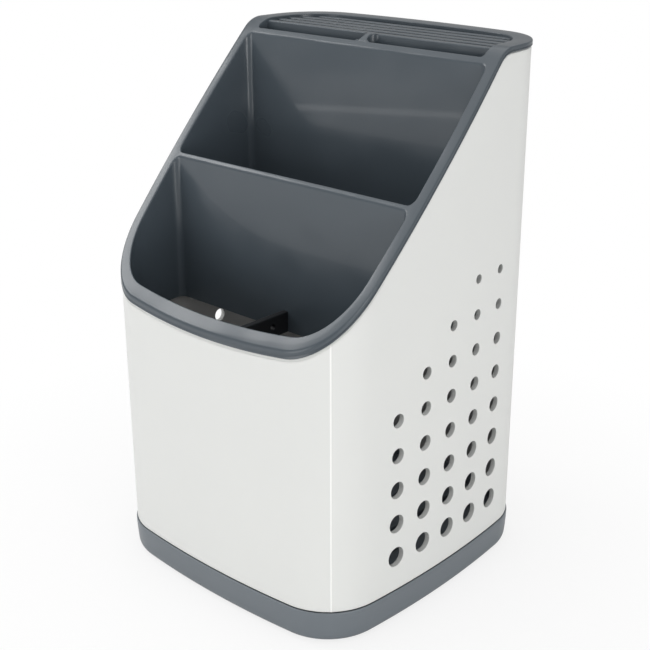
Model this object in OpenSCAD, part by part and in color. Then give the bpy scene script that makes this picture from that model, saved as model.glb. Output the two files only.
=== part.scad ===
// Slant-topped kitchen utensil and knife holder: a perforated outer shell stands on a drip tray,
// and an organiser with two pockets and a slotted knife deck hangs inside it by its rim.
// Frame: +Z up, front towards -Y, origin on the ground under the middle of the holder.

/* [Body] */
// Width and depth of the shell, across the middle of its bowed sides
body_w = 146.8; // [136:0.2:160]
// Radius of the slow bow of each side
side_r = 455; // [400:5:700]
// Radius of the upright corners
corner_r = 28; // [24:0.5:34]
// Thickness of the shell
shell_wall = 2.4; // [2:0.1:3]
// Height of the shell at the middle of its front
front_h = 126.4; // [122:0.4:140]
// Height of the shell along its back
back_h = 236.6; // [225:0.2:250]
// Share of the depth that the sloping top takes up
slope_share = 0.716; // [0.66:0.004:0.74]
// Radius where the slope turns into the level back
crest_r = 11; // [6:1:16]

/* [Vent holes] */
// Distance from one upright row of holes to the next
vent_pitch_y = 17; // [15:0.5:18]
// Distance from one level row of holes to the next
vent_pitch_z = 16.05; // [14:0.05:18]
// Height of the lowest holes
vent_z = 32.4; // [30:0.2:36]
// Place of the front row of holes, from the middle of the side
vent_y = -31.9; // [-36:0.1:-28]
// Diameter of the lowest holes
vent_d_low = 9.2; // [7:0.1:12]
// Diameter of the highest holes
vent_d_high = 4.1; // [3:0.1:7]

/* [Organiser] */
// Thickness of the organiser's walls
org_wall = 1.5; // [1.3:0.1:2.4]
// Height of the organiser's open bottom edge above the ground
org_z = 114.6; // [100:0.2:118]
// Thickness of the rim, square to its top
rim_t = 2.8; // [2.4:0.1:4]
// How far the rim stands proud of the shell
rim_over = 0.4; // [0.2:0.1:1.2]
// Thickness of the wall between the front and middle pockets
divider_t = 1.8; // [1.4:0.1:2.4]
// Place of the front face of that wall
divider_y = -23.5; // [-30:0.5:-18]
// Thickness of the wall in front of the knife deck
knife_wall_t = 2.4; // [1.8:0.1:3]
// Place of the front face of the wall in front of the knife deck
knife_wall_y = 24.6; // [20:0.2:25]
// Radius inside the pockets' upright corners
pocket_r = 3; // [2:0.5:8]
// Height of the bar across the bottom of the front pocket
bar_h = 9.4; // [6:0.2:14]
// Thickness of that bar
bar_t = 3.2; // [2:0.2:4]
// Diameter of the hole near the back of the bar
bar_hole_d = 3; // [2:0.5:4]

/* [Knife deck] */
// Depth of the deck's top below the top of the rim
deck_drop = 1.2; // [0.6:0.2:2]
// Height of the bars between the slots
rib_h = 12; // [8:1:20]
// Width of the band between the slots' ends and the outside of the rim
deck_band = 8.4; // [7:0.2:11]
// Width of the wide front slot
wide_slot = 6.2; // [5:0.2:9]
// Width of each narrow slot
knife_slot = 3.2; // [2.2:0.1:3.6]
// Number of narrow slots
slot_n = 5; // [3:1:5]
// Thickness of the bridge across the wide slot
bridge_t = 3; // [2:0.5:5]
// Radius of the curved sides of that bridge
bridge_r = 2.6; // [1:0.2:3]

/* [Base tray] */
// Height of the tray's outer band, from the ground to the shell's seat
tray_h = 15.6; // [14.4:0.2:20]
// How far the band's top stands proud of the shell
tray_over = 0.5; // [0.2:0.1:1.5]
// How far the tray's bottom edge is drawn in from the shell
tray_draw = 3.2; // [2:0.2:6]
// Thickness of the tray's floor
tray_floor = 3; // [2.8:0.2:4]
// Thickness of the tray's upstand inside the shell
tray_wall = 2.2; // [1.6:0.1:2.6]
// Height of the upstand above the shell's seat
upstand_h = 6.6; // [4:0.2:9]
// Width of the ledge that carries the grid
ledge_w = 3; // [2:0.5:5]

/* [Drain grid] */
// Side clearance round the grid, so that it lifts out easily
grid_gap = 1.4; // [0.6:0.2:1.6]
// Thickness of the grid
grid_t = 3; // [2:0.2:4]
// Width of the grid's slots
grid_slot = 3.6; // [2:0.2:5]
// Distance from one slot to the next
grid_pitch = 10; // [8:0.5:12]
// Length of each slot
grid_len = 28; // [18:1:32]
// Distance from one row of slots to the next
grid_row = 36; // [34:1:38]

/* [Feet] */
// Diameter of each rubber foot
foot_d = 14; // [10:0.5:18]
// Height of a foot
foot_h = 2.5; // [2:0.1:2.6]
// How far the feet hold the tray off the ground
foot_out = 0.8; // [0.8:0.1:1.4]
// Distance from the shell's outside to the middle of each foot
foot_in = 23.4; // [21.4:0.4:29.4]

/* [Clearances] */
// Side clearance between the shell and what fits inside it
fit_gap = 0.4; // [0.3:0.05:0.6]
// Clearance under a piece that rests on another
seat_gap = 0.3; // [0.2:0.05:0.4]
// Radial clearance round a foot in its recess
foot_gap = 0.05; // [0.02:0.01:0.1]

/* [Hidden] */
shell_color = "#E4E5E4";
organiser_color = "#555A62";
tray_color = "#6E757B";
foot_color = "#2B2D30";
// Facets along a side, round a corner and round the crest
side_steps = 8;
corner_steps = 10;
crest_steps = 5;
round_fn = 48;
vent_rows = [5, 6, 7, 8, 8];
vent_steps = max(vent_rows) - 1;
eps = 1;

half_w = body_w / 2;
side_c = half_w - side_r;
corner_c = (side_c + sqrt(2 * pow(side_r - corner_r, 2) - pow(side_c, 2))) / 2;
side_a = atan2(corner_c, corner_c - side_c);

// Insets from the shell's outside to each surface within it
inner_in = shell_wall + fit_gap;
pocket_in = inner_in + org_wall;
cavity_in = inner_in + tray_wall;
ledge_in = cavity_in + ledge_w;
grid_in = cavity_in + grid_gap;
deck_in = deck_band - rim_over;
foot_at = half_w - foot_in;

// Heights
tray_z = foot_out;
floor_z = tray_z + tray_floor;
shell_z = tray_h + seat_gap;
ledge_z = tray_h - grid_t;
grid_z = ledge_z + seat_gap;
upstand_z = tray_h + upstand_h;
rim_z = back_h + rim_t;
deck_z = rim_z - deck_drop;
deck_under_z = deck_z - rib_h;
above_z = rim_z + eps;

// The crest's centre lies under both the slope and the level back
slope_a = atan2(back_h - front_h, slope_share * body_w);
crest_y = -half_w + ((back_h - crest_r - front_h) * cos(slope_a) + crest_r) / sin(slope_a);
far = body_w;

// The wall in front of the knife deck, and the deck's bars, which share the depth behind the wide slot
knife_wall_rear = knife_wall_y + knife_wall_t;
divider_rear = divider_y + divider_t;
rib_y = knife_wall_rear + wide_slot;
rib_pitch = (half_w - deck_in - rib_y) / slot_n;

// Points of an arc, without its last one
function arc(cx, cy, r, a0, a1, n) =
  [for (i = [0:n - 1]) let (a = a0 + (a1 - a0) * i / n) [cx + r * cos(a), cy + r * sin(a)]];

function turned(points, a) =
  [for (p = points) [p[0] * cos(a) - p[1] * sin(a), p[0] * sin(a) + p[1] * cos(a)]];

// One bowed side and the corner after it, drawn in by inset from the shell's outside
function quarter(inset) = concat(
  arc(side_c, 0, side_r - inset, -side_a, side_a, side_steps),
  arc(corner_c, corner_c, corner_r - inset, side_a, 90 - side_a, corner_steps));

function plan(inset) = [for (k = [0:3]) each turned(quarter(inset), 90 * k)];

// Distance from the middle to a side's surface, at a place along that side
function side_x(inset, y) = side_c + sqrt(pow(side_r - inset, 2) - y * y);

// Height of the sloping top at a place from front to back, raised square to the slope by lift
function slope_z(y, lift) = front_h + lift / cos(slope_a) + tan(slope_a) * (y + half_w);

// Side view of everything under the top line, raised by lift
function roof(lift) = concat(
  [[-far, -far], [-far, slope_z(-far, lift)]],
  arc(crest_y, back_h - crest_r, crest_r + lift, 90 + slope_a, 90, crest_steps),
  [[crest_y, back_h + lift], [far, back_h + lift], [far, -far]]);

module plate(inset, z0, z1) {
  translate([0, 0, z0])
    linear_extrude(z1 - z0)
      polygon(plan(inset));
}

module under_roof(lift) {
  rotate([90, 0, 90])
    linear_extrude(2 * far, center = true)
      polygon(roof(lift));
}

// Everything between two places from front to back
module strip(y0, y1, z0, z1) {
  translate([-far, y0, z0])
    cube([2 * far, y1 - y0, z1 - z0]);
}

module part_of_plate(inset, y0, y1, z0, z1) {
  intersection() {
    plate(inset, z0, z1);
    strip(y0, y1, z0, z1);
  }
}

// Ventilation holes, straight through both sides
module vent_holes() {
  for (c = [0:len(vent_rows) - 1])
    for (r = [0:vent_rows[c] - 1])
      translate([0, vent_y + c * vent_pitch_y, vent_z + r * vent_pitch_z])
        rotate([0, 90, 0])
          cylinder(h = body_w + 2 * eps, center = true, $fn = round_fn,
            d = vent_d_low + (vent_d_high - vent_d_low) * r / vent_steps);
}

module shell() {
  color(shell_color)
    difference() {
      intersection() {
        plate(0, shell_z, above_z);
        under_roof(0);
      }
      plate(shell_wall, shell_z - eps, above_z + eps);
      vent_holes();
    }
}

// Rounds the upright corner between a side wall and a cross wall; side and toward are 1 or -1
module corner_fillet(side, y, toward) {
  x = side * side_x(pocket_in, y);
  translate([x - side * pocket_r, y + toward * pocket_r, org_z])
    difference() {
      translate([side > 0 ? 0 : -pocket_r - org_wall / 2, toward > 0 ? -pocket_r - divider_t / 2 : 0, 0])
        cube([pocket_r + org_wall / 2, pocket_r + divider_t / 2, above_z - org_z]);
      translate([0, 0, -eps])
        cylinder(r = pocket_r, h = above_z - org_z + 2 * eps, $fn = round_fn);
    }
}

module pocket_fillets() {
  for (side = [-1, 1]) {
    corner_fillet(side, divider_y, -1);
    corner_fillet(side, divider_rear, 1);
    corner_fillet(side, knife_wall_y, -1);
  }
}

// Opening of a pocket, between two cross walls
module pocket(y0, y1) {
  part_of_plate(pocket_in, y0, y1, org_z - eps, above_z + eps);
}

// Bridge across the wide slot, waisted in the middle of its length
module bridge() {
  middle_y = knife_wall_rear + wide_slot / 2;
  bend_y = wide_slot / 2 - bridge_r;
  translate([0, middle_y, (deck_under_z + deck_z) / 2])
    difference() {
      cube([bridge_t + 2 * bridge_r, wide_slot + knife_wall_t / 2, rib_h], center = true);
      for (side = [-1, 1])
        translate([side * (bridge_t / 2 + bridge_r), 0, 0]) {
          for (end = [-1, 1])
            translate([0, end * bend_y, 0])
              cylinder(r = bridge_r, h = rib_h + 2 * eps, center = true, $fn = round_fn);
          cube([2 * bridge_r, 2 * bend_y, rib_h + 2 * eps], center = true);
        }
    }
}

module slots() {
  part_of_plate(deck_in, knife_wall_rear, rib_y, deck_under_z - eps, above_z + eps);
  for (i = [1:slot_n])
    part_of_plate(deck_in, rib_y + i * rib_pitch - knife_slot, rib_y + i * rib_pitch,
      deck_under_z - eps, above_z + eps);
}

// Bar across the bottom of the front pocket, from the front wall to the divider
module pocket_bar() {
  front_y = -side_x(pocket_in, 0) - org_wall / 2;
  difference() {
    translate([-bar_t / 2, front_y, org_z])
      cube([bar_t, divider_y + divider_t / 2 - front_y, bar_h]);
    translate([0, divider_y - bar_h, org_z + bar_h / 2])
      rotate([0, 90, 0])
        cylinder(d = bar_hole_d, h = bar_t + 2 * eps, center = true, $fn = round_fn);
  }
}

module organiser() {
  color(organiser_color)
    union() {
      intersection() {
        difference() {
          union() {
            difference() {
              plate(-rim_over, org_z, above_z);
              under_roof(seat_gap);
            }
            plate(inner_in, org_z, above_z);
          }
          pocket(-far, divider_y);
          pocket(divider_rear, knife_wall_y);
          part_of_plate(pocket_in, knife_wall_rear, far, org_z - eps, deck_under_z);
          part_of_plate(deck_in, rib_y, far, deck_z, above_z + eps);
          slots();
        }
        under_roof(rim_t);
      }
      intersection() {
        pocket_fillets();
        plate(pocket_in - org_wall / 2, org_z, above_z);
        under_roof(rim_t);
      }
      intersection() {
        bridge();
        under_roof(rim_t);
      }
      pocket_bar();
    }
}

module drain_grid() {
  color(tray_color)
    difference() {
      plate(grid_in, grid_z, grid_z + grid_t);
      for (column = [-5:5])
        for (row = [-1:1])
          translate([column * grid_pitch - grid_slot / 2, row * grid_row - grid_len / 2, grid_z - eps])
            cube([grid_slot, grid_len, grid_t + 2 * eps]);
    }
}

// Outside of the tray: drawn in and rounded towards the ground
module tray_outside() {
  hull() {
    plate(tray_draw, tray_z, tray_z + 0.2);
    plate(tray_draw * 0.42, tray_z + tray_h * 0.06, tray_z + tray_h * 0.08);
    plate(tray_draw * 0.1, tray_z + tray_h * 0.17, tray_z + tray_h * 0.19);
    plate(-tray_over, tray_h * 0.5, tray_h);
  }
}

module foot_places() {
  for (x = [-foot_at, foot_at])
    for (y = [-foot_at, foot_at])
      translate([x, y, 0])
        children();
}

module base_tray() {
  color(tray_color)
    difference() {
      union() {
        tray_outside();
        plate(inner_in, tray_h - eps, upstand_z);
      }
      plate(cavity_in, ledge_z, upstand_z + eps);
      plate(ledge_in, floor_z, upstand_z + eps);
      foot_places()
        cylinder(r = foot_d / 2 + foot_gap, h = foot_h, $fn = round_fn);
    }
}

// A rubber foot, bevelled where it meets the ground
module foot(x_side, y_side) {
  bevel = foot_out * 0.8;
  color(foot_color)
    translate([x_side * foot_at, y_side * foot_at, 0])
      rotate_extrude($fn = round_fn)
        polygon([[0, 0], [foot_d / 2 - bevel, 0], [foot_d / 2, bevel], [foot_d / 2, foot_h], [0, foot_h]]);
}

shell();
organiser();
drain_grid();
base_tray();
foot(-1, -1);  // foot_front_left
foot(1, -1);  // foot_front_right
foot(-1, 1);  // foot_rear_left
foot(1, 1);  // foot_rear_right
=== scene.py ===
import math
import bpy
import bmesh
from mathutils import Matrix, Vector
from mathutils.geometry import delaunay_2d_cdt


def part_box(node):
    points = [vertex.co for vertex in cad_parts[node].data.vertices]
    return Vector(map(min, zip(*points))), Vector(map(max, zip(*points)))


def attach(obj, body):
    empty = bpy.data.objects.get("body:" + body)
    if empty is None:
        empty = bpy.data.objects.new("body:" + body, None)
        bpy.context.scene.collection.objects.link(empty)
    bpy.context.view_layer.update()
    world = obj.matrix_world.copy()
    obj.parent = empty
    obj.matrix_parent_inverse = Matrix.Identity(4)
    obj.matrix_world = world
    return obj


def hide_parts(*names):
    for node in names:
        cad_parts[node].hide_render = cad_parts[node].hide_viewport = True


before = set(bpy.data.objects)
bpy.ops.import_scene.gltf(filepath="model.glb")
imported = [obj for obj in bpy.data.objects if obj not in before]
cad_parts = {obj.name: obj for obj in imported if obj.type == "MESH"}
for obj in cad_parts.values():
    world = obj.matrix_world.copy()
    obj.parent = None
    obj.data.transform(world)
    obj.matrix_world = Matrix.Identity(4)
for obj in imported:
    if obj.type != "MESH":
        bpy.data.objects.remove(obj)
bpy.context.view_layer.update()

mm = 0.001

# The holder's main sizes in mm. The frame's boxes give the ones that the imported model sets.
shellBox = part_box("shell")
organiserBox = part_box("organiser")
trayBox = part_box("base_tray")
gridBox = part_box("drain_grid")
body = {
    "width": (shellBox[1][0] - shellBox[0][0]) / mm,
    "bottom": shellBox[0][2] / mm,
    "backHeight": shellBox[1][2] / mm,
    "frontHeight": 126.4,
    "slopeShare": 0.716,            # share of the depth that the sloping top takes up
    "crestRadius": 11.0,
    "bowRadius": 455.0,             # slow bow of each side
    "cornerRadius": 28.0,
    "wall": 2.4,
    "fit": 0.4,                     # clearance between the shell and what sits in it
}
halfWidth = body["width"] / 2
print("frame loaded, shell", round(body["width"], 1), "mm wide,", round(body["backHeight"], 1), "mm high")


# Camera, set up from the perspective of the photograph
camera = {
    "place": (0.35657, -0.38537, 0.31724),
    "right": (0.7371339, 0.6757359, -0.0038252),
    "up": (-0.2451395, 0.2726796, 0.9303507),
    "lens": 68.246, "sensor": 36.0,
}


def addCamera():
    data = bpy.data.cameras.new("camera")
    data.lens = camera["lens"]
    data.sensor_width = camera["sensor"]
    data.clip_start = 0.01
    right = Vector(camera["right"])
    up = Vector(camera["up"])
    turn = Matrix((right, up, right.cross(up))).transposed().to_4x4()
    obj = bpy.data.objects.new("camera", data)
    obj.matrix_world = Matrix.Translation(camera["place"]) @ turn
    bpy.context.scene.collection.objects.link(obj)
    bpy.context.scene.camera = obj


addCamera()
print("camera placed")


# Plan: a square with bowed sides and round corners, and copies of it drawn in by an inset
bowCentre = halfWidth - body["bowRadius"]
cornerReach = body["bowRadius"] - body["cornerRadius"]
cornerCentre = (bowCentre + math.sqrt(2 * cornerReach ** 2 - bowCentre ** 2)) / 2
bowAngle = math.atan2(cornerCentre, cornerCentre - bowCentre)


def sideX(inset, y):
    return bowCentre + math.sqrt((body["bowRadius"] - inset) ** 2 - y * y)


def bowPoint(inset, share):
    # share runs from -1 to 1 along one bowed side
    a = bowAngle * share
    r = body["bowRadius"] - inset
    return bowCentre + r * math.cos(a), r * math.sin(a)


def cornerPoint(inset, share):
    # share runs from 0 to 1 round the corner that follows the bowed side
    a = bowAngle + (math.pi / 2 - 2 * bowAngle) * share
    r = body["cornerRadius"] - inset
    return cornerCentre + r * math.cos(a), cornerCentre + r * math.sin(a)


def depthIn(x, y):
    # how far a point lies inside the shell's outside
    x, y = max(abs(x), abs(y)), min(abs(x), abs(y))
    if math.atan2(y, x - bowCentre) < bowAngle:
        return body["bowRadius"] - math.hypot(x - bowCentre, y)
    return body["cornerRadius"] - math.hypot(x - cornerCentre, y - cornerCentre)


def quarterTurn(p, k):
    for _ in range(k % 4):
        p = (-p[1], p[0])
    return p


def plan(inset, sideSteps=24, cornerSteps=28):
    points = []
    for k in range(4):
        for i in range(sideSteps):
            points.append(quarterTurn(bowPoint(inset, 2 * i / sideSteps - 1), k))
        for i in range(cornerSteps):
            points.append(quarterTurn(cornerPoint(inset, i / cornerSteps), k))
    return points


# The top line seen from the side: a slope, a crest arc and a level back, raised squarely by lift
slope = math.atan2(body["backHeight"] - body["frontHeight"], body["slopeShare"] * body["width"])
slopeCos = math.cos(slope)
slopeSin = math.sin(slope)
crestZ = body["backHeight"] - body["crestRadius"]
crestY = -halfWidth + ((crestZ - body["frontHeight"]) * slopeCos + body["crestRadius"]) / slopeSin


def roofZ(y, lift):
    r = body["crestRadius"] + lift
    if y >= crestY:
        return body["backHeight"] + lift
    if y > crestY - r * slopeSin:
        return crestZ + math.sqrt(r * r - (y - crestY) ** 2)
    return body["frontHeight"] + lift / slopeCos + math.tan(slope) * (y + halfWidth)


# Mesh helpers
smoothAngle = 40        # edges that turn by more degrees than this stay sharp


def meshObject(name, vertices, faces, angle=smoothAngle):
    mesh = bpy.data.meshes.new(name)
    mesh.from_pydata([Vector(v) * mm for v in vertices], [], faces)
    bm = bmesh.new()
    bm.from_mesh(mesh)
    bmesh.ops.remove_doubles(bm, verts=bm.verts, dist=2e-6)
    bmesh.ops.dissolve_degenerate(bm, edges=bm.edges, dist=1e-6)
    bmesh.ops.recalc_face_normals(bm, faces=bm.faces)
    bm.to_mesh(mesh)
    bm.free()
    mesh.shade_smooth()
    mesh.set_sharp_from_angle(angle=math.radians(angle))
    obj = bpy.data.objects.new(name, mesh)
    bpy.context.scene.collection.objects.link(obj)
    return obj


def ringFaces(a, b, n):
    # quads between two closed rings of n points that start at a and b
    return [(a + i, a + (i + 1) % n, b + (i + 1) % n, b + i) for i in range(n)]


class Builder:
    # collects vertices and faces of one piece
    def __init__(self):
        self.vertices = []
        self.faces = []

    def ring(self, points):
        start = len(self.vertices)
        self.vertices += points
        return start

    def loft(self, rings):
        n = len(rings[0])
        starts = [self.ring(r) for r in rings]
        for a, b in zip(starts, starts[1:]):
            self.faces += ringFaces(a, b, n)
        return starts

    def cap(self, loops, heightAt, cuts=()):
        # a face with holes, the first loop outside, split along lines of constant y in cuts
        points, edges = [], []
        for loop in loops:
            start = len(points)
            points += [Vector(p) for p in loop]
            edges += [(start + i, start + (i + 1) % len(loop)) for i in range(len(loop))]
        flat, _, faces, _, _, _ = delaunay_2d_cdt(points, edges, [], 1, 1e-5)
        bm = bmesh.new()
        made = [bm.verts.new((p.x, p.y, 0)) for p in flat]
        for f in faces:
            middle = sum((flat[i] for i in f), Vector((0, 0))) / len(f)
            if sum(inside(middle, loop) for loop in loops) == 1:
                bm.faces.new([made[i] for i in f])
        for y in cuts:
            bmesh.ops.bisect_plane(bm, geom=bm.verts[:] + bm.edges[:] + bm.faces[:],
                                   plane_co=(0, y, 0), plane_no=(0, 1, 0), dist=1e-6)
        loose = [v for v in bm.verts if not v.link_faces]
        bmesh.ops.delete(bm, geom=loose, context="VERTS")
        bm.verts.index_update()
        start = self.ring([(v.co.x, v.co.y, heightAt(v.co.y)) for v in bm.verts])
        self.faces += [tuple(start + v.index for v in f.verts) for f in bm.faces]
        bm.free()


def inside(p, loop):
    # whether a point lies inside a closed loop
    hit = False
    for (x0, y0), (x1, y1) in zip(loop, loop[1:] + loop[:1]):
        if (y0 > p.y) != (y1 > p.y) and p.x < (x1 - x0) * (p.y - y0) / (y1 - y0) + x0:
            hit = not hit
    return hit


def splitAt(loop, cuts):
    # adds a point to a closed loop wherever it crosses a line of constant y
    out = []
    for (x0, y0), (x1, y1) in zip(loop, loop[1:] + loop[:1]):
        out.append((x0, y0))
        crossed = [(y - y0) / (y1 - y0) for y in cuts if min(y0, y1) + 1e-4 < y < max(y0, y1) - 1e-4]
        out += [(x0 + (x1 - x0) * t, y0 + (y1 - y0) * t) for t in sorted(crossed)]
    return out


def moved(loop, distance):
    # the loop drawn outwards by distance, along the normals of a loop that runs anticlockwise
    out = []
    n = len(loop)
    for i in range(n):
        x, y = loop[i]
        before, after = loop[i - 1], loop[(i + 1) % n]
        ax, ay = x - before[0], y - before[1]
        bx, by = after[0] - x, after[1] - y
        la, lb = math.hypot(ax, ay), math.hypot(bx, by)
        nx, ny = ay / la + by / lb, -ax / la - bx / lb
        scale = distance * 2 / (nx * nx + ny * ny)
        out.append((x + nx * scale, y + ny * scale))
    return out


def arcPoints(cx, cy, r, a0, a1, n):
    return [(cx + r * math.cos(a0 + (a1 - a0) * i / n), cy + r * math.sin(a0 + (a1 - a0) * i / n))
            for i in range(n + 1)]


def quarterRoll(steps):
    # pairs along a rolled edge, from (1, 0) to (0, 1): the radius's share still to go across and gone down
    turns = [math.pi / 2 * q / steps for q in range(steps + 1)]
    return [(1 - math.sin(a), 1 - math.cos(a)) for a in turns]


def lifted(loop, lift):
    return [(x, y, roofZ(y, lift)) for x, y in loop]


def level(loop, z):
    return [(x, y, z) for x, y in loop]


# Materials
def linear(hexColor):
    out = []
    for i in (0, 2, 4):
        c = int(hexColor[i:i + 2], 16) / 255
        out.append(c / 12.92 if c <= 0.04045 else ((c + 0.055) / 1.055) ** 2.4)
    return (*out, 1.0)


def addNode(tree, kind, settings=None, links=None, **values):
    # settings are the node's own properties, values its sockets, links socket to output
    node = tree.nodes.new(kind)
    for key, value in (settings or {}).items():
        setattr(node, key, value)
    for key, value in values.items():
        node.inputs[key.replace("_", " ")].default_value = value
    for key, output in (links or {}).items():
        tree.links.new(output, node.inputs[key])
    return node


def newMaterial(name):
    material = bpy.data.materials.new(name)
    material.use_nodes = True
    tree = material.node_tree
    tree.nodes.clear()
    return material, tree


def mouldedPlastic(name, look):
    # a moulded plastic or rubber: even colour, faint flow mottling, fine spark texture and slow ripples
    # sizes and depths are in mm
    material, tree = newMaterial(name)
    place = addNode(tree, "ShaderNodeTexCoord").outputs["Object"]
    mottle = addNode(tree, "ShaderNodeTexNoise", links={"Vector": place},
                     Scale=1 / (look["mottleSize"] * mm), Detail=3.0)
    tint = addNode(tree, "ShaderNodeMix", {"data_type": "RGBA"}, {"Factor": mottle.outputs["Fac"]})
    tint.inputs[6].default_value = linear(look["dark"])
    tint.inputs[7].default_value = linear(look["light"])
    rough = addNode(tree, "ShaderNodeMapRange", links={"Value": mottle.outputs["Fac"]})
    rough.inputs["To Min"].default_value = look["roughness"][0]
    rough.inputs["To Max"].default_value = look["roughness"][1]
    grain = addNode(tree, "ShaderNodeTexNoise", links={"Vector": place},
                    Scale=1 / (look["grainSize"] * mm), Detail=2.0)
    fine = addNode(tree, "ShaderNodeBump", links={"Height": grain.outputs["Fac"]},
                   Strength=look["grainStrength"], Distance=look["grainDepth"] * mm)
    ripple = addNode(tree, "ShaderNodeTexNoise", links={"Vector": place},
                     Scale=1 / (look["rippleSize"] * mm), Detail=1.0)
    slow = addNode(tree, "ShaderNodeBump",
                   links={"Height": ripple.outputs["Fac"], "Normal": fine.outputs["Normal"]},
                   Strength=look["rippleStrength"], Distance=look["rippleDepth"] * mm)
    shader = addNode(tree, "ShaderNodeBsdfPrincipled",
                     links={"Base Color": tint.outputs[2], "Roughness": rough.outputs["Result"],
                            "Normal": slow.outputs["Normal"]}, IOR=look["ior"])
    shader.inputs["Specular IOR Level"].default_value = look["specular"]
    shader.inputs["Coat Weight"].default_value = look["coat"]
    shader.inputs["Coat Roughness"].default_value = look["coatRoughness"]
    addNode(tree, "ShaderNodeOutputMaterial", links={"Surface": shader.outputs["BSDF"]})
    return material


# A real spark-eroded texture is about 0.1 mm. The grain is drawn 0.3 to 0.6 mm wide, as a finer one
# wouldn't show.
# White polypropylene, moulded against a fine spark-eroded steel face: a soft satin, no mirror image
satinPolypropylene = mouldedPlastic("satin_white_polypropylene", {
    "dark": "DFE0DE", "light": "E4E5E2", "mottleSize": 111.0, "roughness": (0.42, 0.5),
    "ior": 1.49, "specular": 0.45, "coat": 0.0, "coatRoughness": 0.3,
    "grainSize": 0.385, "grainStrength": 0.12, "grainDepth": 0.04,
    "rippleSize": 45.5, "rippleStrength": 0.1, "rippleDepth": 0.6})
# The same in the holes' bores: rougher, almost without sheen, and painted grey as the shade inside the bores
dullShadedPolypropylene = mouldedPlastic("dull_white_polypropylene_painted_shade", {
    "dark": "B0B1AF", "light": "B9BAB8", "mottleSize": 25.0, "roughness": (0.6, 0.7),
    "ior": 1.49, "specular": 0.3, "coat": 0.0, "coatRoughness": 0.3,
    "grainSize": 0.5, "grainStrength": 0.2, "grainDepth": 0.05,
    "rippleSize": 16.7, "rippleStrength": 0.1, "rippleDepth": 0.4})
# The shell's inside face: as dull, and painted a darker, warmer grey as the shade inside the shell
insideShadePolypropylene = mouldedPlastic("inside_painted_shade_polypropylene", {
    "dark": "B8B7B5", "light": "C0BFBD", "mottleSize": 50.0, "roughness": (0.6, 0.7),
    "ior": 1.49, "specular": 0.3, "coat": 0.0, "coatRoughness": 0.3,
    "grainSize": 0.5, "grainStrength": 0.2, "grainDepth": 0.05,
    "rippleSize": 33.3, "rippleStrength": 0.1, "rippleDepth": 0.6})
# A thin ridge where the mould's two halves met: a little glossier, with its highlight painted near-white
partingHighlightPolypropylene = mouldedPlastic("parting_line_painted_highlight", {
    "dark": "FAFAF8", "light": "FFFFFD", "mottleSize": 16.7, "roughness": (0.22, 0.3),
    "ior": 1.49, "specular": 0.5, "coat": 0.0, "coatRoughness": 0.3,
    "grainSize": 0.5, "grainStrength": 0.1, "grainDepth": 0.03,
    "rippleSize": 16.7, "rippleStrength": 0.1, "rippleDepth": 0.4})
# Blue-grey ABS from a polished mould: wide soft reflections that waver where the wall sank in cooling
polishedAbs = mouldedPlastic("polished_blue_grey_abs", {
    "dark": "454D54", "light": "4A535A", "mottleSize": 71.4, "roughness": (0.24, 0.34),
    "ior": 1.53, "specular": 0.4, "coat": 0.22, "coatRoughness": 0.05,
    "grainSize": 0.556, "grainStrength": 0.06, "grainDepth": 0.03,
    "rippleSize": 38.46, "rippleStrength": 0.6, "rippleDepth": 4.5})
# The same on the bar deep in the pocket: unpolished, and painted near-black as the shade there
unpolishedShadeAbs = mouldedPlastic("unpolished_blue_grey_abs_painted_shade", {
    "dark": "1B1D20", "light": "222427", "mottleSize": 33.3, "roughness": (0.5, 0.6),
    "ior": 1.53, "specular": 0.3, "coat": 0.0, "coatRoughness": 0.3,
    "grainSize": 0.556, "grainStrength": 0.15, "grainDepth": 0.04,
    "rippleSize": 25.0, "rippleStrength": 0.1, "rippleDepth": 0.6})
# Mid-grey ABS, etched: an even silky sheen on the tray and its grid
satinAbs = mouldedPlastic("satin_grey_abs", {
    "dark": "666D73", "light": "6D747A", "mottleSize": 83.3, "roughness": (0.36, 0.44),
    "ior": 1.53, "specular": 0.45, "coat": 0.15, "coatRoughness": 0.25,
    "grainSize": 0.4545, "grainStrength": 0.12, "grainDepth": 0.04,
    "rippleSize": 41.7, "rippleStrength": 0.12, "rippleDepth": 0.8})
# Pressed nitrile rubber: almost black, dull, with a dusty bloom
pressedRubber = mouldedPlastic("pressed_black_rubber", {
    "dark": "232426", "light": "2C2D2F", "mottleSize": 16.7, "roughness": (0.72, 0.85),
    "ior": 1.52, "specular": 0.35, "coat": 0.0, "coatRoughness": 0.5,
    "grainSize": 0.333, "grainStrength": 0.3, "grainDepth": 0.06,
    "rippleSize": 11.1, "rippleStrength": 0.1, "rippleDepth": 0.4})
print("materials made")


def finishPiece(obj, materials, bodyName, node):
    for material in materials:
        obj.data.materials.append(material)
    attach(obj, bodyName)
    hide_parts(node)


# Shell: bowed walls, rows of holes that shrink upwards, and a parting line up the middle of each corner
shellLook = {
    "ventPitchY": 17.0, "ventPitchZ": 16.05, "ventLow": 32.4, "ventFront": -31.9,
    "ventDiameters": (9.2, 4.1), "ventRows": (5, 6, 7, 8, 8),
    "holeRound": 0.2,               # radius where a hole's edge rolls into the wall
    "holeFlat": (0.9, 0.25),        # rings of flat wall kept round a hole's edge
    "holeFlare": 0.8,               # the same inside
    "edgeRound": 0.5,               # radius of the top and bottom edges
    "edgeStep": 0.3,                # least step from the wall's last point up to the top edge's roll
    "boreEnd": 0.02,                # how near the bore's last two rings are to the inner face
    "topClear": 6.0,                # least height between the holes' field and the sloping top
    "partingHeight": 0.15, "partingHalf": 0.3,
    "partingAt": (-0.7, -0.3, 0.0, 0.3, 0.7), "partingClear": 1.2,
    "cellSteps": 6,                 # steps along one side of a hole's cell
    "lowSteps": 3, "topSteps": 16, "cornerSteps": 15, "sideSteps": 30, "endSteps": 3, "roundSteps": 4,
    "smoothAngle": 50,
}
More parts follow.
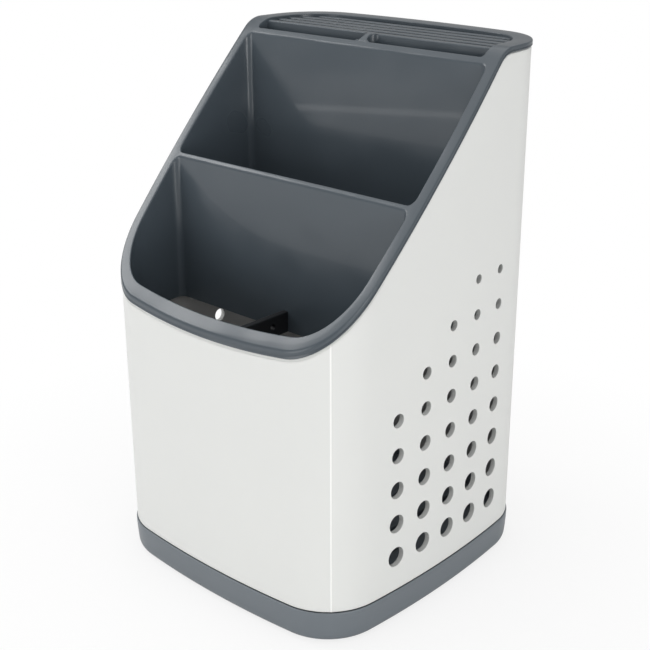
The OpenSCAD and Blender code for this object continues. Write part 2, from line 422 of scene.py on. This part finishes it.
# Where the shell's finishes and its painted shade and highlight begin, as depths below its outside and as a
# height kept clear of its edges
finishAndPaintedLightDepth = {"parting": -0.03, "holes": 0.25, "inside": body["wall"] - 0.2, "edge": 0.7}


def wallAt(pointAt, share, k, raised=0.0):
    # outer and inner plan points at one share of a side or a corner, turned to quarter k
    outer = quarterTurn(pointAt(-raised, share), k)
    inner = quarterTurn(pointAt(body["wall"], share), k)
    return outer, inner


def shellColumns():
    # each column gives its outer and inner plan points, and its place in a side's field of holes or None
    look = shellLook
    steps = look["cellSteps"]
    first = look["ventFront"] - look["ventPitchY"] / 2
    fieldYs = [first + look["ventPitchY"] * i / steps for i in range(len(look["ventRows"]) * steps + 1)]
    endY = body["bowRadius"] * math.sin(bowAngle)
    arcLength = body["cornerRadius"] * (math.pi / 2 - 2 * bowAngle)
    even = [i / look["cornerSteps"] for i in range(look["cornerSteps"])]
    marks = [s for s in even if abs(s - 0.5) * arcLength > look["partingClear"]]
    marks += [0.5 + at / arcLength for at in look["partingAt"]]
    ends = look["endSteps"]
    columns = []
    for k in range(4):
        if k in (0, 2):
            ys = fieldYs if k == 0 else [-y for y in reversed(fieldYs)]
            lead = [-1.0 + (ys[0] / endY + 1.0) * i / ends for i in range(ends)]
            trail = [ys[-1] / endY + (1.0 - ys[-1] / endY) * i / ends for i in range(1, ends)]
            columns += [(*wallAt(bowPoint, s, k), None) for s in lead]
            for i, y in enumerate(ys):
                outer = quarterTurn((sideX(0, y), y), k)
                inner = quarterTurn((sideX(body["wall"], y), y), k)
                columns.append((outer, inner, (k, i)))
            columns += [(*wallAt(bowPoint, s, k), None) for s in trail]
        else:
            shares = [2 * i / look["sideSteps"] - 1 for i in range(look["sideSteps"])]
            columns += [(*wallAt(bowPoint, s, k), None) for s in shares]
        for s in sorted(marks):
            away = abs(s - 0.5) * arcLength
            raised = look["partingHeight"] * max(0.0, 1 - away / look["partingHalf"])
            columns.append((*wallAt(cornerPoint, s, k, raised), None))
    return columns


def shellLevels(y, z0, fieldTop, rows):
    # heights of one column: squeezed where the sloping top is lower than the field of holes
    look = shellLook
    cells = rows * look["cellSteps"]
    low = look["ventLow"] - look["ventPitchZ"] / 2
    top = roofZ(y, 0)
    squeeze = min(1.0, (top - look["topClear"] - low) / (fieldTop - low))
    out = [z0 + (low - z0) * i / look["lowSteps"] for i in range(look["lowSteps"])]
    out += [low + (fieldTop - low) * squeeze * i / cells for i in range(cells + 1)]
    last = out[-1]
    out += [last + (top - last) * i / look["topSteps"] for i in range(1, look["topSteps"])]
    return out


def buildShell():
    look = shellLook
    made = Builder()
    rows = max(look["ventRows"])
    steps = look["cellSteps"]
    turns = look["roundSteps"]
    fieldTop = look["ventLow"] + look["ventPitchZ"] * (rows - 0.5)
    fieldEnd = look["lowSteps"] + rows * steps
    e = look["edgeRound"]
    z0 = body["bottom"] + e
    columns = shellColumns()
    n = len(columns)
    outerGrid, innerGrid = [], []
    for (ox, oy), (ix, iy), _ in columns:
        length = math.hypot(ox - ix, oy - iy)
        dx, dy = (ix - ox) / length, (iy - oy) / length
        levels = shellLevels(oy, z0, fieldTop, rows)
        outer = [(ox, oy, z) for z in levels]
        inner = [(ix, iy, min(z, roofZ(iy, 0) - e) if j > fieldEnd else z) for j, z in enumerate(levels)]
        lower, upper = [], []
        for across, down in quarterRoll(turns):
            x, y = ox + dx * e * across, oy + dy * e * across
            lower.append((x, y, body["bottom"] + e * down))
            upper.append((x, y, roofZ(y, -e * down)))
        outer[-1] = (ox, oy, min(outer[-1][2], roofZ(oy, -e) - look["edgeStep"]))
        outer = lower + outer[1:] + list(reversed(upper))
        inner = [(ix, iy, body["bottom"])] + inner + [(ix, iy, roofZ(iy, 0))]
        outerGrid.append(made.ring(outer))
        innerGrid.append(made.ring(inner))
    outerCount = len(outer)
    innerCount = len(inner)
    # index of the field's lowest row in each grid
    fieldOut = turns + look["lowSteps"]
    fieldIn = 1 + look["lowSteps"]
    skipped = set()
    holes = []
    for i, (_, _, mark) in enumerate(columns):
        if mark is None or mark[1] % steps or mark[1] == len(look["ventRows"]) * steps:
            continue
        side, at = mark
        c = at // steps if side == 0 else len(look["ventRows"]) - 1 - at // steps
        for r in range(look["ventRows"][c]):
            holes.append((i, side, c, r))
            skipped.update((i + a, r * steps + b) for a in range(steps) for b in range(steps))
    for i in range(n):
        j = (i + 1) % n
        o, p = outerGrid[i], outerGrid[j]
        u, v = innerGrid[i], innerGrid[j]
        for z in range(outerCount - 1):
            if (i, z - fieldOut) not in skipped:
                made.faces.append((o + z, p + z, p + z + 1, o + z + 1))
        for z in range(innerCount - 1):
            if (i, z - fieldIn) not in skipped:
                made.faces.append((u + z, u + z + 1, v + z + 1, v + z))
        made.faces.append((o, u, v, p))
        made.faces.append((o + outerCount - 1, p + outerCount - 1, v + innerCount - 1, u + innerCount - 1))
    for i, side, c, r in holes:
        addHole(made, outerGrid, innerGrid, i, fieldOut + r * steps, fieldIn + r * steps, side, c, r)
    return meshObject("shell_moulding", made.vertices, made.faces, look["smoothAngle"])


def addHole(made, outerGrid, innerGrid, i, zOut, zIn, side, c, r):
    # fills one cell of the field with a round hole: rolled edge outside, straight bore, plain edge inside
    look = shellLook
    steps = look["cellSteps"]
    rim = [(a, 0) for a in range(steps)] + [(steps, b) for b in range(steps)]
    rim += [(a, steps) for a in range(steps, 0, -1)] + [(0, b) for b in range(steps, 0, -1)]
    y0 = look["ventFront"] + c * look["ventPitchY"]
    zc = look["ventLow"] + r * look["ventPitchZ"]
    d0, d1 = look["ventDiameters"]
    radius = (d0 + (d1 - d0) * r / (max(look["ventRows"]) - 1)) / 2
    sign = 1 if side == 0 else -1
    n = len(rim)

    def ringAt(rad, depth):
        points = []
        for a, b in rim:
            angle = math.atan2(b - steps / 2, a - steps / 2)
            y = y0 + sign * rad * math.cos(angle)
            points.append((sign * (sideX(0, y) - depth), y, zc + rad * math.sin(angle)))
        return points

    bore = look["holeRound"]
    rings = [ringAt(radius + bore + flat, 0) for flat in look["holeFlat"]]
    rings += [ringAt(radius + bore * across, bore * down) for across, down in quarterRoll(look["roundSteps"])]
    rings.append(ringAt(radius, body["wall"] - look["boreEnd"]))
    rings.append(ringAt(radius, body["wall"] + look["boreEnd"]))
    rings.append(ringAt(radius + look["holeFlare"], body["wall"]))
    starts = [made.ring(points) for points in rings]
    outerEdge = [outerGrid[i + a] + zOut + b for a, b in rim]
    innerEdge = [innerGrid[i + a] + zIn + b for a, b in rim]
    chain = [outerEdge] + [list(range(s, s + n)) for s in starts] + [innerEdge]
    for p, q in zip(chain, chain[1:]):
        made.faces += [(p[k], p[(k + 1) % n], q[(k + 1) % n], q[k]) for k in range(n)]


def finishAndPaintedLightIndex(x, y, z):
    # which of the shell's materials a face has: satin, dull with painted shade in the holes, painted shade on
    # the inside face, or the parting line's painted highlight
    depth = depthIn(x, y)
    if depth < finishAndPaintedLightDepth["parting"]:
        return 3
    low = body["bottom"] + finishAndPaintedLightDepth["edge"]
    high = roofZ(y, 0) - finishAndPaintedLightDepth["edge"]
    if depth <= finishAndPaintedLightDepth["holes"] or not low < z < high:
        return 0
    return 2 if depth > finishAndPaintedLightDepth["inside"] else 1


shell = buildShell()
for face in shell.data.polygons:
    face.material_index = finishAndPaintedLightIndex(*(face.center / mm))
# the hole bores and the inside face take painted shade, the parting line a painted highlight
shellFinishesAndPaintedLight = [satinPolypropylene, dullShadedPolypropylene, insideShadePolypropylene, partingHighlightPolypropylene]
finishPiece(shell, shellFinishesAndPaintedLight, "housing", "shell")
print("shell built with", len(shell.data.polygons), "faces")


# Organiser: rim, two open pockets, and a deck of bars with slots between them
organiserLook = {
    "bottom": organiserBox[0][2] / mm, "wall": 1.5, "rim": 2.8, "rimOver": 0.4,
    "dividerY": -23.5, "divider": 1.8, "knifeWallY": 24.6, "knifeWall": 2.4,
    "pocketRadius": 3.0, "seat": 0.3,
    "rollIn": 0.6, "rollOut": 0.6,  # radii where the rim's top rolls into the pockets and down its outside
    "rollDeck": 0.5, "rollSteps": 6,
    "grooveUp": 0.55, "grooveDepth": 0.3, "grooveWidth": 0.5, "grooveSlant": 0.3, "seatSoft": 0.25,
    "barHeight": 9.4, "bar": 3.2, "barHole": 3.0,
    "deckBand": 8.4, "deckDrop": 1.2, "ribHeight": 12.0, "knifeSlot": 3.2, "wideSlot": 6.2,
    "slots": 5, "bridge": 3.0, "bridgeRadius": 2.6, "deckRadius": 1.5, "chamberRadius": 2.0,
    "softBar": 0.7, "softBridge": 0.6, "softPocketBar": 0.5,    # radii of their top edges
    "buried": 0.4,                  # how far a bar's ends reach into the wall
    "bridgeEnd": (0.2, 0.3),        # the same for the bridge, sideways and lengthways
    "underside": 0.3,               # height of the bars' and the bridge's undersides above the deck's
    "bowSteps": 12, "cornerSteps": 24, "filletSteps": 8, "sideSteps": 10, "middleSteps": 14,
    "flareSteps": 8, "softSteps": 4,
}


def filletAt(inset, y, radius, toward):
    # centre and tangent angle of a fillet between a bowed side and a straight wall at y
    r = body["bowRadius"] - inset - radius
    cy = y + toward * radius
    cx = bowCentre + math.sqrt(r * r - cy * cy)
    return cx, cy, math.atan2(cy, cx - bowCentre)


def mirroredLoop(right):
    # closes a right half, given from front to back, with its mirror image
    return right + [(-x, y) for x, y in reversed(right)]


def filletArc(centre, radius, a0, a1):
    return arcPoints(*centre, radius, a0, a1, organiserLook["filletSteps"])


def cornerArc(inset, k):
    steps = organiserLook["cornerSteps"]
    return [quarterTurn(cornerPoint(inset, i / steps), k) for i in range(steps + 1)]


def bowArc(inset, k, first, last):
    steps = organiserLook["bowSteps"]
    return [quarterTurn(bowPoint(inset, i / steps), k) for i in range(first, last)]


def sideArc(inset, a0, a1, steps):
    r = body["bowRadius"] - inset
    return [(bowCentre + r * math.cos(a0 + (a1 - a0) * i / steps), r * math.sin(a0 + (a1 - a0) * i / steps))
            for i in range(1, steps)]


def frontPocketLoop(inset, y1, radius):
    look = organiserLook
    cx, cy, at = filletAt(inset, y1, radius, -1)
    right = bowArc(inset, 3, 1, look["bowSteps"])
    right += cornerArc(inset, 3)
    right += sideArc(inset, -bowAngle, at, look["sideSteps"])
    right += filletArc((cx, cy), radius, at, math.pi / 2)
    return mirroredLoop(right)


def middlePocketLoop(inset, y0, y1, radius):
    ax, ay, a = filletAt(inset, y0, radius, 1)
    bx, by, b = filletAt(inset, y1, radius, -1)
    right = filletArc((ax, ay), radius, -math.pi / 2, a)
    right += sideArc(inset, a, b, organiserLook["middleSteps"])
    right += filletArc((bx, by), radius, b, math.pi / 2)
    return mirroredLoop(right)


def rearLoop(inset, y0, radius):
    look = organiserLook
    ax, ay, a = filletAt(inset, y0, radius, 1)
    right = filletArc((ax, ay), radius, -math.pi / 2, a)
    right += sideArc(inset, a, bowAngle, look["sideSteps"])
    right += cornerArc(inset, 0)
    right += bowArc(inset, 1, 1 - look["bowSteps"], 0)
    return mirroredLoop(right)


def rolledRings(loop, roll, lift, side):
    # rings of a quarter roll along the sloping top, outwards for a hole (side 1), inwards for a rim (-1)
    return [lifted(moved(loop, side * roll * across), lift - roll * down)
            for across, down in quarterRoll(organiserLook["rollSteps"])]


def rolledHole(made, loop, roll, lift, zBottom, cuts):
    # walls of an opening whose top edge is rolled; gives the loops where the cap and the bottom begin
    loop = splitAt(loop, cuts)
    rings = rolledRings(loop, roll, lift, 1)
    rings.append(level(loop, zBottom))
    made.loft(rings)
    return [(x, y) for x, y, _ in rings[0]], loop


def buildOrganiser():
    look = organiserLook
    made = Builder()
    outer = body["wall"] + body["fit"]
    inset = outer + look["wall"]
    lift = look["rim"]
    bottom = look["bottom"]
    dividerRear = look["dividerY"] + look["divider"]
    knifeRear = look["knifeWallY"] + look["knifeWall"]
    deckZ = body["backHeight"] + lift - look["deckDrop"]
    deckUnder = deckZ - look["ribHeight"]
    deckInset = look["deckBand"] - look["rimOver"]
    # lines across the crest, 1 mm apart, where flat faces are split to follow its arc
    cuts = [crestY - (body["crestRadius"] + lift) * slopeSin + i for i in range(14)]
    frontPlan = frontPocketLoop(inset, look["dividerY"], look["pocketRadius"])
    middlePlan = middlePocketLoop(inset, dividerRear, look["knifeWallY"], look["pocketRadius"])
    deckPlan = rearLoop(deckInset, knifeRear, look["deckRadius"])
    front, frontLoop = rolledHole(made, frontPlan, look["rollIn"], lift, bottom, cuts)
    middle, middleLoop = rolledHole(made, middlePlan, look["rollIn"], lift, bottom, cuts)
    deck, deckLoop = rolledHole(made, deckPlan, look["rollDeck"], lift, deckUnder, cuts)
    # rim outside: rolled top edge, side band with a fine groove, underside and the wall inside the shell
    base = splitAt(plan(-look["rimOver"]), cuts)
    rings = rolledRings(base, look["rollOut"], lift, -1)
    depth, width = look["grooveDepth"], look["grooveWidth"]
    low = look["seat"] + look["grooveUp"]
    slant = width * look["grooveSlant"]
    side = [(0, low + width), (depth, low + width - slant), (depth, low + slant), (0, low)]
    side += [(0, look["seat"] + look["seatSoft"]), (look["seatSoft"], look["seat"])]
    rings += [lifted(moved(base, -inward), height) for inward, height in side]
    wallLoop = moved(base, -(outer + look["rimOver"]))
    rings.append(lifted(wallLoop, look["seat"]))
    rings.append(level(wallLoop, bottom))
    made.loft(rings)
    rimLoop = [(x, y) for x, y, _ in rings[0]]
    made.cap([rimLoop, front, middle, deck], lambda y: roofZ(y, lift), cuts)
    chamber = rearLoop(inset, knifeRear, look["chamberRadius"])
    made.loft([level(chamber, deckUnder), level(chamber, bottom)])
    made.cap([chamber, deckLoop], lambda y: deckUnder)
    made.cap([wallLoop, frontLoop, middleLoop, chamber], lambda y: bottom)
    bodyMesh = meshObject("organiser_moulding", made.vertices, made.faces)
    return bodyMesh, knifeRear, deckZ, deckUnder, deckInset, inset


def roundedBar(made, section, x0, x1, buried):
    # a bar along X whose section is a loop of (y, z); x0 and x1 give its ends at a place y
    ends = [[(f(y) + s * buried, y, z) for y, z in section] for f, s in ((x0, -1), (x1, 1))]
    starts = made.loft(ends)
    n = len(section)
    made.faces += [tuple(range(starts[0], starts[0] + n)), tuple(range(starts[1] + n - 1, starts[1] - 1, -1))]


def buildDeckBars(knifeRear, deckZ, deckUnder, deckInset):
    look = organiserLook
    made = Builder()
    ribFront = knifeRear + look["wideSlot"]
    pitch = (halfWidth - deckInset - ribFront) / look["slots"]
    outline = rearLoop(deckInset, knifeRear, look["deckRadius"])

    def edgeX(y):
        best = 0.0
        for (xa, ya), (xb, yb) in zip(outline, outline[1:] + outline[:1]):
            if min(ya, yb) <= y <= max(ya, yb) and ya != yb:
                best = max(best, xa + (xb - xa) * (y - ya) / (yb - ya))
        return best

    soft = look["softBar"]
    under = deckUnder + look["underside"]
    for i in range(look["slots"]):
        y0 = ribFront + i * pitch
        y1 = y0 + pitch - look["knifeSlot"]
        section = [(y0, under), (y0, deckZ - soft)]
        section += arcPoints(y0 + soft, deckZ - soft, soft, math.pi, math.pi / 2, look["softSteps"])[1:]
        section += arcPoints(y1 - soft, deckZ - soft, soft, math.pi / 2, 0, look["softSteps"])
        section += [(y1, under)]
        roundedBar(made, section, lambda y: -edgeX(y), edgeX, look["buried"])
    return meshObject("deck_bars", made.vertices, made.faces)


def buildBridge(knifeRear, deckZ, deckUnder):
    # waisted bridge across the wide slot, level with the bars at the back and the wall's top in front
    look = organiserLook
    made = Builder()
    half = look["bridge"] / 2
    r = look["bridgeRadius"]
    y0, y1 = knifeRear, knifeRear + look["wideSlot"]
    under = deckUnder + look["underside"]
    endX, endY = look["bridgeEnd"]
    flare = quarterRoll(look["flareSteps"])
    front = [(half + r * across, y0 + r * down) for across, down in flare]
    rear = [(half + r * across, y1 - r * down) for across, down in reversed(flare)]
    loop = mirroredLoop([(half + r + endX, y0 - endY)] + front + rear + [(half + r + endX, y1 + endY)])

    def topZ(y, down):
        return min(deckZ, roofZ(y, look["rim"])) - down

    soft = look["softBridge"]
    rings = []
    for across, down in quarterRoll(look["softSteps"]):
        rings.append([(x, y, topZ(y, soft * down)) for x, y in moved(loop, -soft * across)])
    rings.append(level(loop, under))
    made.loft(rings)
    made.cap([[(x, y) for x, y, _ in rings[0]]], lambda y: topZ(y, 0))
    made.cap([loop], lambda y: under)
    return meshObject("deck_bridge", made.vertices, made.faces)


def buildPocketBar(inset):
    # bar along Y across the front pocket's open bottom, with a small round hole near the divider
    look = organiserLook
    made = Builder()
    half = look["bar"] / 2
    z0 = look["bottom"]
    z1 = z0 + look["barHeight"]
    yFront = -sideX(inset, 0) - look["buried"] - 0.1
    yBack = look["dividerY"] + look["buried"] + 0.1
    holeY = look["dividerY"] - look["barHeight"]
    holeZ = (z0 + z1) / 2
    square = [(yFront, z0), (yBack, z0), (yBack, z1), (yFront, z1)]
    hole = arcPoints(holeY, holeZ, look["barHole"] / 2, 0, 2 * math.pi, 24)[:-1]
    soft = look["softPocketBar"]
    for sign in (-1, 1):
        flat = Builder()
        flat.cap([square, hole], lambda y: 0.0)
        start = made.ring([(sign * half, p, min(q, z1 - soft)) for p, q, _ in flat.vertices])
        made.faces += [tuple(start + v for v in f) for f in flat.faces]
    made.loft([[(-half, p, q) for p, q in hole], [(half, p, q) for p, q in hole]])
    top = [(-half + soft * down, z1 - soft * across) for across, down in quarterRoll(look["softSteps"])]
    top += [(-x, z) for x, z in reversed(top)]
    section = [(-half, z0)] + top + [(half, z0)]
    frontRing = made.ring([(x, yFront, z) for x, z in section])
    backRing = made.ring([(x, yBack, z) for x, z in section])
    m = len(section)
    # the bar's two sides are the flat faces with the hole in them, made above
    for k in range(m):
        if k not in (0, m - 2):
            made.faces.append((frontRing + k, frontRing + (k + 1) % m, backRing + (k + 1) % m, backRing + k))
    made.faces += [tuple(range(frontRing, frontRing + m)), tuple(range(backRing, backRing + m))]
    return meshObject("pocket_bar", made.vertices, made.faces)


def joinInto(main, others):
    # others are pairs of an object and the number of its material; the pocket bar's is the one painted
    # near-black as shade
    for other, finish in others:
        for face in other.data.polygons:
            face.material_index = finish
        bm = bmesh.new()
        bm.from_mesh(main.data)
        bm.from_mesh(other.data)
        bm.to_mesh(main.data)
        bm.free()
        bpy.data.objects.remove(other)
    main.data.shade_smooth()
    main.data.set_sharp_from_angle(angle=math.radians(smoothAngle))


organiser, knifeRear, deckZ, deckUnder, deckInset, pocketInset = buildOrganiser()
# the pocket bar takes material 1, painted near-black as the shade deep in the pocket
joinInto(organiser, [(buildDeckBars(knifeRear, deckZ, deckUnder, deckInset), 0),
                     (buildPocketBar(pocketInset), 1),
                     (buildBridge(knifeRear, deckZ, deckUnder), 0)])
finishPiece(organiser, [polishedAbs, unpolishedShadeAbs], "insert", "organiser")
print("organiser built with", len(organiser.data.polygons), "faces")


# Base tray: a rounded band under the shell, an upstand inside it, and a hollow for the water
trayLook = {
    "bottom": trayBox[0][2] / mm, "seat": 15.6, "top": trayBox[1][2] / mm, "over": 0.5, "draw": 3.2,
    "gapDepth": 0.7, "heelHeight": 4.6, "lipRound": 0.5, "floorRound": 2.0, "topSoft": (0.6, 0.4),
    "gapEdge": (0.1, 0.25), "heelSteps": 10, "roundSteps": 4,
    "floor": 3.0, "wall": 2.2, "ledge": 3.0, "gridThick": (gridBox[1][2] - gridBox[0][2]) / mm,
    "footPlace": 50.0, "footRecess": 7.05, "recessTop": 2.52,
}


def buildTray():
    look = trayLook
    made = Builder()
    z0 = look["bottom"]
    over = look["over"]
    seat = look["seat"]
    turns = look["roundSteps"]
    # heel: an elliptic roll from the flat underside up to the band, which then leans out a little
    heelUp = look["heelHeight"]
    rings = [level(plan(look["draw"] * across), z0 + heelUp * down)
             for across, down in quarterRoll(look["heelSteps"])]
    lip = look["lipRound"]
    lean = seat - lip - z0 - heelUp
    for q in range(1, turns + 1):
        rings.append(level(plan(-over * math.sin(math.pi / 2 * q / turns)), z0 + heelUp + lean * q / turns))
    for across, down in quarterRoll(turns)[1:]:
        rings.append(level(plan(-over + lip * down), seat - lip * across))
    # a shadow gap behind the band's lip, then the upstand
    inner = body["wall"] + body["fit"]
    cavity = inner + look["wall"]
    ledgeIn = cavity + look["ledge"]
    ledgeZ = seat - look["gridThick"]
    floorZ = z0 + look["floor"]
    top = look["top"]
    edge, gapIn = look["gapEdge"]
    gapZ = seat - look["gapDepth"]
    steps = [(edge, seat - edge), (gapIn, gapZ), (inner, gapZ)]
    out, back = look["topSoft"]
    steps += [(inner, top - out), (inner + out, top), (cavity - back, top), (cavity, top - back)]
    steps += [(cavity, ledgeZ), (ledgeIn, ledgeZ)]
    soft = look["floorRound"]
    steps += [(ledgeIn + soft * down, floorZ + soft * across) for across, down in quarterRoll(turns)]
    rings += [level(plan(inset), z) for inset, z in steps]
    made.loft(rings)
    made.cap([[(x, y) for x, y, _ in rings[-1]]], lambda y: floorZ)
    p = look["footPlace"]
    recesses = [[(cx + x, cy + y) for x, y in arcPoints(0, 0, look["footRecess"], 0, 2 * math.pi, 32)[:-1]]
                for cx in (-p, p) for cy in (-p, p)]
    made.cap([[(x, y) for x, y, _ in rings[0]]] + recesses, lambda y: z0)
    for loop in recesses:
        made.loft([level(loop, z0), level(loop, look["recessTop"])])
        made.cap([loop], lambda y: look["recessTop"])
    return meshObject("tray_moulding", made.vertices, made.faces)


tray = buildTray()
finishPiece(tray, [satinAbs], "base", "base_tray")
print("base tray built with", len(tray.data.polygons), "faces")


# Drain grid: a flat plate with rows of round-ended slots
gridLook = {
    "bottom": gridBox[0][2] / mm, "top": gridBox[1][2] / mm, "slot": 3.6, "pitch": 10.0,
    "length": 28.0, "row": 36.0, "columns": 5, "roll": 0.5, "gap": 1.4,
}


def buildGrid():
    look = gridLook
    made = Builder()
    inset = body["wall"] + body["fit"] + trayLook["wall"] + look["gap"]
    outline = plan(inset)
    r = look["slot"] / 2
    reach = look["length"] / 2 - r
    top = look["top"]
    roll = look["roll"]
    tops, bottoms = [], []
    for c in range(-look["columns"], look["columns"] + 1):
        for row in (-1, 0, 1):
            cx, cy = c * look["pitch"], row * look["row"]
            loop = [(cx + x, cy + y) for x, y in arcPoints(0, reach, r, 0, math.pi, 8)]
            loop += [(cx + x, cy + y) for x, y in arcPoints(0, -reach, r, math.pi, 2 * math.pi, 8)]
            rings = [level(moved(loop, roll), top), level(moved(loop, roll * 0.3), top - roll * 0.3)]
            rings.append(level(loop, top - roll))
            rings.append(level(loop, look["bottom"]))
            made.loft(rings)
            tops.append([(x, y) for x, y, _ in rings[0]])
            bottoms.append(loop)
    edge = [level(plan(inset + roll), top), level(plan(inset + roll * 0.3), top - roll * 0.3),
            level(outline, top - roll), level(outline, look["bottom"])]
    made.loft(edge)
    made.cap([[(x, y) for x, y, _ in edge[0]]] + tops, lambda y: top)
    made.cap([outline] + bottoms, lambda y: look["bottom"])
    return meshObject("grid_moulding", made.vertices, made.faces)


grid = buildGrid()
finishPiece(grid, [satinAbs], "grid", "drain_grid")
print("drain grid built with", len(grid.data.polygons), "faces")


# Feet: rubber discs, dished underneath and rolled at the edge
footLook = {
    "radius": 7.0, "height": 2.5, "roll": 0.8, "dish": 0.35, "soft": 0.2, "steps": 40, "rollSteps": 4,
    "dishShares": (0.12, 0.55, 0.68),       # of the radius: the middle, the dish's flat and its edge
}


def buildFoot(name, cx, cy):
    look = footLook
    made = Builder()
    r = look["radius"]
    core, flat, edge = look["dishShares"]
    soft = look["soft"]
    profile = [(r * core, look["dish"]), (r * flat, look["dish"]), (r * edge, 0.0), (r - look["roll"], 0.0)]
    for across, down in quarterRoll(look["rollSteps"])[1:]:
        profile.append((r - look["roll"] * across, look["roll"] * down))
    profile += [(r, look["height"] - soft), (r - soft, look["height"]), (r * core, look["height"])]
    rings = [[(cx + x, cy + y, z) for x, y in arcPoints(0, 0, rad, 0, 2 * math.pi, look["steps"])[:-1]]
             for rad, z in profile]
    starts = made.loft(rings)
    for s in (starts[0], starts[-1]):
        made.faces.append(tuple(range(s, s + look["steps"])))
    return meshObject(name, made.vertices, made.faces)


for nodeName in ("foot_front_left", "foot_front_right", "foot_rear_left", "foot_rear_right"):
    low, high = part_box(nodeName)
    middle = (Vector(low) + Vector(high)) / 2 / mm
    foot = buildFoot(nodeName.replace("foot", "pad"), middle.x, middle.y)
    finishPiece(foot, [pressedRubber], "base", nodeName)
print("feet built")


# Studio: pale floor, soft lamps and a white surround for the camera
studio = {
    "floorSize": 6.0, "floorSteps": 8, "floorColor": "F2F2F2", "surround": 0.40,
    "glowNear": (0.1, 0.8), "glowFar": (0.26, 1.0),     # distance from the middle, share of plain white
    "lamps": (
        # name, place, aim, width, height, power
        ("overhead", (0.0, -0.1, 1.6), (0, 0, 0.1), 3.0, 3.0, 22.5),
        ("left", (-1.3, -0.55, 1.05), (0, 0, 0.15), 0.6, 0.6, 5.4),
        ("low_right", (1.3, -0.4, 0.2), (0, 0, 0.04), 0.6, 0.6, 5.6),
        ("low_front", (-0.25, -1.1, 0.15), (0, 0, 0.04), 0.6, 0.6, 2.6),
        # a thin strip whose image wavers in the middle pocket's polished rear wall
        ("strip", (-0.37, -0.39, 0.12), (0, 0, 0.2), 0.3, 0.006, 0.02),
    ),
}


def addFloor():
    half = studio["floorSize"] / 2 / mm
    made = Builder()
    steps = studio["floorSteps"]
    marks = [(2 * i / steps - 1) * half for i in range(steps + 1)]
    for y in marks:
        made.ring([(x, y, 0) for x in marks])
    w = steps + 1
    made.faces = [(i * w + j, i * w + j + 1, (i + 1) * w + j + 1, (i + 1) * w + j)
                  for i in range(steps) for j in range(steps)]
    floor = meshObject("floor", made.vertices, made.faces)
    material, tree = newMaterial("pale_floor")
    path = addNode(tree, "ShaderNodeLightPath")
    place = addNode(tree, "ShaderNodeTexCoord").outputs["Object"]
    away = addNode(tree, "ShaderNodeVectorMath", {"operation": "LENGTH"}, {0: place})
    fade = addNode(tree, "ShaderNodeMapRange", links={"Value": away.outputs["Value"]})
    fade.inputs["From Min"].default_value, fade.inputs["To Min"].default_value = studio["glowNear"]
    fade.inputs["From Max"].default_value, fade.inputs["To Max"].default_value = studio["glowFar"]
    share = addNode(tree, "ShaderNodeMath", {"operation": "MULTIPLY"},
                    {0: path.outputs["Is Camera Ray"], 1: fade.outputs["Result"]})
    matte = addNode(tree, "ShaderNodeBsdfDiffuse", Color=linear(studio["floorColor"]))
    glow = addNode(tree, "ShaderNodeEmission", Color=(1, 1, 1, 1), Strength=1.0)
    both = addNode(tree, "ShaderNodeMixShader",
                   links={0: share.outputs[0], 1: matte.outputs[0], 2: glow.outputs[0]})
    addNode(tree, "ShaderNodeOutputMaterial", links={"Surface": both.outputs[0]})
    floor.data.materials.append(material)


def addLamps():
    for name, place, aim, width, height, power in studio["lamps"]:
        data = bpy.data.lights.new(name, "AREA")
        data.shape = "RECTANGLE"
        data.size = width
        data.size_y = height
        data.energy = power
        obj = bpy.data.objects.new(name, data)
        away = Vector(place) - Vector(aim)
        obj.matrix_world = Matrix.Translation(place) @ away.to_track_quat("Z", "Y").to_matrix().to_4x4()
        bpy.context.scene.collection.objects.link(obj)


def addSurround():
    world = bpy.data.worlds.new("surround")
    bpy.context.scene.world = world
    world.use_nodes = True
    tree = world.node_tree
    tree.nodes.clear()
    path = addNode(tree, "ShaderNodeLightPath")
    strength = addNode(tree, "ShaderNodeMapRange", links={"Value": path.outputs["Is Camera Ray"]})
    strength.inputs["To Min"].default_value = studio["surround"]
    strength.inputs["To Max"].default_value = 1.0
    shade = addNode(tree, "ShaderNodeBackground", links={"Strength": strength.outputs["Result"]},
                    Color=(1, 1, 1, 1))
    addNode(tree, "ShaderNodeOutputWorld", links={"Surface": shade.outputs[0]})


addFloor()
addLamps()
addSurround()
bpy.context.scene.view_settings.view_transform = "Standard"
print("studio lit")
